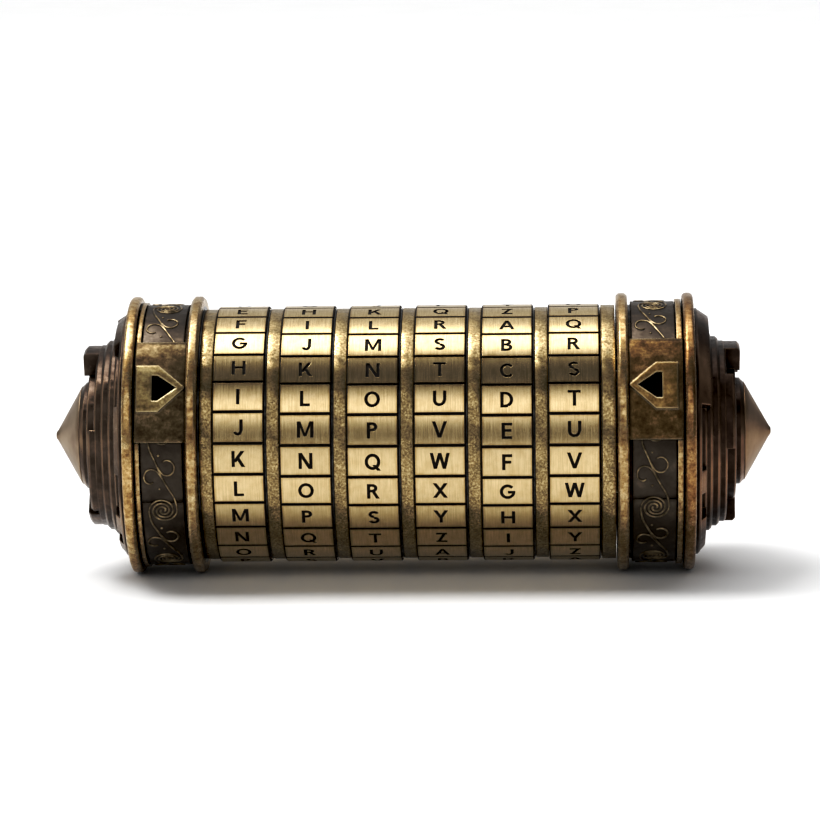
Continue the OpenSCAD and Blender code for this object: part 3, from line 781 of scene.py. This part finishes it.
def cap_bronze(name, dip, copper_and_highlight):
    """Cast bronze in a brown dip, with copper and a painted highlight in patches on the edges and slopes of
    the steps, and painted shade in corners.
    """
    material, add, feed = shader(name)
    place, _ = from_axis(add)
    clouds = noise(add, place, 240.0, 6.0, 0.62)
    fine = noise(add, place, 1700.0, 3.0)
    patches = noise(add, place, 75.0, 3.0)
    tone = ramp(add, clouds, (0.36, (0.034, 0.024, 0.018)), (0.55, (0.074, 0.053, 0.040)),
                (0.74, (0.15, 0.104, 0.072)))
    tone = blend(add, "MULTIPLY", 1.0, tone, dip)
    soft, edge_lean = edges_by_lean(add, 0.3 * MM)
    unshaded = unshaded_faces(add, 1.6 * MM)

    # the edges of the steps slope between the cap's axis and its radius; a painted highlight goes there, with
    # the copper of rubbed edges
    axial = add("SeparateXYZ", {"Vector": add("TexCoord").outputs["Normal"]}).outputs[0]
    squared = calc(add, "MULTIPLY", axial, axial)
    sloping = calc(add, "MULTIPLY", squared, calc(add, "SUBTRACT", 1.0, squared))
    slope = calc(add, "MULTIPLY", sloping, 4.0)
    painted_slope_highlight = calc(add, "MULTIPLY", slope, 0.6)
    slope_highlight_and_wear = calc(add, "ADD", painted_slope_highlight, calc(add, "MULTIPLY", edge_lean, 5.0), clamp=True)
    patchy = calc(add, "MULTIPLY", slope_highlight_and_wear, ramp(add, patches, (0.42, 0.12), (0.62, 1.0)))
    # painted highlight with copper wear, in patches on the slopes and edges
    tone = blend(add, "MIX", calc(add, "MULTIPLY", patchy, 0.78), tone, copper_and_highlight)
    # painted shade: near-black in inner corners and narrow gaps
    feed(blend(add, "MIX", unshaded, (0.014, 0.010, 0.008), tone), "Base Color")
    feed(ramp(add, fine, (0.3, 0.42), (0.7, 0.26)), "Roughness")
    feed(bumped(add, fine, 0.3, 0.05 * MM, soft), "Normal")
    return material


CAPS = {"left": cap_bronze("brown_cap_bronze", (1.0, 1.0, 1.0), (0.46, 0.33, 0.22)),
        "right": cap_bronze("dark_cap_bronze", (0.52, 0.46, 0.46), (0.46, 0.28, 0.17))}
for side, bronze in CAPS.items():
    finish_in(f"{side}_end_cap", bronze)
    rounded(f"{side}_end_cap", CAP_EDGE, SHARP_ANGLE)

# ---- Cones ----
# Turned finials that screw into the hubs. They are paler than the caps, with a satin face from the lathe.
CONE_EDGE = 0.10 * MM


def satin_bronze(name, dark, light):
    """Clean turned bronze, satin in rings about the axis."""
    material, add, feed = shader(name)
    place, radius = from_axis(add)
    clouds = noise(add, place, 190.0, 5.0)
    turning = noise(add, add("CombineXYZ", {"X": radius}).outputs[0], 6.0, 3.0)
    feed(ramp(add, clouds, (0.35, dark), (0.65, light)), "Base Color")
    feed(ramp(add, turning, (0.3, 0.36), (0.7, 0.48)), "Roughness")
    feed(bumped(add, turning, 0.08, 0.05 * MM), "Normal")
    return material


CONES = {"left": satin_bronze("pale_satin_bronze", (0.20, 0.145, 0.098), (0.30, 0.235, 0.168)),
         "right": satin_bronze("brown_satin_bronze", (0.19, 0.122, 0.070), (0.285, 0.196, 0.120))}
for side, bronze in CONES.items():
    finish_in(f"{side}_cone", bronze)
    rounded(f"{side}_cone", CONE_EDGE, SHARP_ANGLE)

# ---- Sleeve, vault tube and the small steel parts ----
# What shows when the vault is drawn out: the turned vault tube with its pins, the bore of the slotted
# sleeve, and the steel screws and washers, of which the ones beside the dials are black.
TUBE_EDGE = 0.10 * MM


def turned_brass():
    """Bright brass with fine rings left by the lathe."""
    material, add, feed = shader("turned_brass")
    place, _ = from_axis(add)
    drawn_out = add("VectorMath", {0: place}, operation="MULTIPLY", in_1=(1.0, 0.03, 0.03)).outputs[0]
    rings = noise(add, drawn_out, 5000.0, 3.0)
    clouds = noise(add, place, 150.0, 5.0)
    feed(ramp(add, clouds, (0.35, (0.50, 0.38, 0.19)), (0.65, (0.70, 0.55, 0.30))), "Base Color")
    feed(ramp(add, rings, (0.3, 0.22), (0.7, 0.36)), "Roughness")
    feed(bumped(add, rings, 0.12, 0.02 * MM), "Normal")
    return material


def plain_steel(name, light, dark):
    """Steel with faint clouds."""
    material, add, feed = shader(name)
    place, _ = from_axis(add)
    clouds = noise(add, place, 900.0, 5.0)
    feed(ramp(add, clouds, (0.35, dark), (0.65, light)), "Base Color")
    feed(ramp(add, clouds, (0.35, 0.42), (0.65, 0.26)), "Roughness")
    return material


TURNED = turned_brass()
STEEL = plain_steel("plain_steel", (0.60, 0.59, 0.57), (0.42, 0.41, 0.40))
BLACK_STEEL = plain_steel("black_steel", (0.06, 0.06, 0.06), (0.02, 0.02, 0.02))
for node in ("sleeve", "vault_tube"):
    finish_in(node, TURNED)
    rounded(node, TUBE_EDGE)
for node in ("sleeve_screws", "vault_screws", "vault_pins", "wave_washer"):
    finish_in(node, STEEL)
finish_in("retaining_screws", BLACK_STEEL)
for n in range(1, len(CODE_ROW) + 1):
    finish_in(f"spacer_washer_{n}", BLACK_STEEL)

# ---- Floor, light and camera ----
# The cylinder lies on a wide white table under a long overhead softbox, with a lower one in front of it
# and a pale wall behind. Between them the room is dark, which draws the bands across the brass.
FLOOR_HALF = 4.0
floor_mesh = bpy.data.meshes.new("floor")
floor_corners = [(x * FLOOR_HALF, y * FLOOR_HALF, 0) for x, y in ((-1, -1), (1, -1), (1, 1), (-1, 1))]
floor_mesh.from_pydata(floor_corners, [], [(0, 1, 2, 3)])
floor = bpy.data.objects.new("floor", floor_mesh)
bpy.context.scene.collection.objects.link(floor)
table, add, feed = shader("white_table", metallic=0.0)
mottle = noise(add, add("TexCoord").outputs["Object"], 40.0, 2.0)
feed(ramp(add, mottle, (0.3, 0.885), (0.7, 0.9)), "Base Color")
feed(0.9, "Roughness")
feed(0.0, "Specular IOR Level")
floor_mesh.materials.append(table)

# Brightness of the room round the cylinder, by angle above the front horizon, over the top to the back
ROOM = [(0, 0.30), (12, 0.27), (17, 0.45), (24, 1.5), (39, 1.7), (45, 0.7), (52, 0.16), (64, 0.10),
        (79, 0.13), (87, 0.7), (92, 3.1), (116, 3.1), (121, 1.1), (134, 0.65), (155, 0.6), (180, 0.9)]
# and how much of it there is from the far left, at 0, to the far right, at 1
ROOM_ENDS = [(0.0, 0.35), (0.12, 0.6), (0.26, 1.0), (0.63, 1.0), (0.76, 0.42), (1.0, 0.08)]
PEAK = max(value for _, value in ROOM)
world = bpy.data.worlds.new("studio")
bpy.context.scene.world = world
world.use_nodes = True
backdrop = world.node_tree.nodes["Background"]
add = node_adder(world.node_tree)
parts = add("SeparateXYZ", {"Vector": add("TexCoord").outputs["Generated"]}).outputs
over_the_top = calc(add, "ARCTAN2", parts["Z"], calc(add, "MULTIPLY", parts["Y"], -1.0))
room_stops = [(angle / 180, value / PEAK) for angle, value in ROOM]
bands = ramp(add, between(add, over_the_top, 0.0, math.pi), *room_stops)
ends = ramp(add, between(add, parts["X"], -1.0, 1.0), *ROOM_ENDS)
world.node_tree.links.new(blend(add, "MULTIPLY", 1.0, bands, ends), backdrop.inputs["Color"])
backdrop.inputs["Strength"].default_value = PEAK

# A softbox high on the left throws the shadows to the right and lights the left side of every rim
KEY_FROM = Vector((-0.39, 0.08, 0.92))
KEY_DISTANCE = 1.2
key_data = bpy.data.lights.new("key", "AREA")
key_data.shape = "SQUARE"
key_data.size = 0.5
key_data.energy = 7.8
key = bpy.data.objects.new("key", key_data)
bpy.context.scene.collection.objects.link(key)
key_facing = KEY_FROM.to_track_quat("Z", "Y").to_matrix().to_4x4()
key.matrix_world = Matrix.Translation(KEY_FROM.normalized() * KEY_DISTANCE) @ key_facing

# The camera stands a little to the right and looks slightly down
CAMERA_DISTANCE = 0.850
CAMERA_TURN = 1.9
CAMERA_HEIGHT = 9.2                                # in degrees, like the turn and the roll
CAMERA_ROLL = -0.72
CAMERA_AIM = Vector((-0.5, 4.15, 0)) * MM          # across and up from the middle of the cylinder
camera_data = bpy.data.cameras.new("camera")
camera_data.sensor_width = 36.0
camera_data.lens = 205.2439
camera_data.clip_start = 0.01
camera_data.clip_end = 50
camera = bpy.data.objects.new("camera", camera_data)
bpy.context.scene.collection.objects.link(camera)
turn = math.radians(CAMERA_TURN)
rise = math.radians(CAMERA_HEIGHT)
back = Vector((math.sin(turn) * math.cos(rise), -math.cos(turn) * math.cos(rise), math.sin(rise)))
straight = (-back).to_track_quat("-Z", "Y").to_matrix().to_4x4()
facing = straight @ Matrix.Rotation(math.radians(CAMERA_ROLL), 4, "Z")
aim = Vector((0, 0, AXIS_Z)) + facing.to_3x3() @ CAMERA_AIM
camera.matrix_world = Matrix.Translation(aim + back * CAMERA_DISTANCE) @ facing
bpy.context.scene.camera = camera

# The tone curve has a toe, which keeps the castings dark
TOE = [(0.035, 0.026), (0.10, 0.070), (0.17, 0.140), (0.35, 0.345)]
view = bpy.context.scene.view_settings
view.view_transform = "Standard"
view.gamma = 0.90
view.exposure = 0.10
view.use_curve_mapping = True
view.curve_mapping.black_level = (0.006, 0.006, 0.006)
for x, y in TOE:
    view.curve_mapping.curves[3].points.new(x, y)
view.curve_mapping.update()
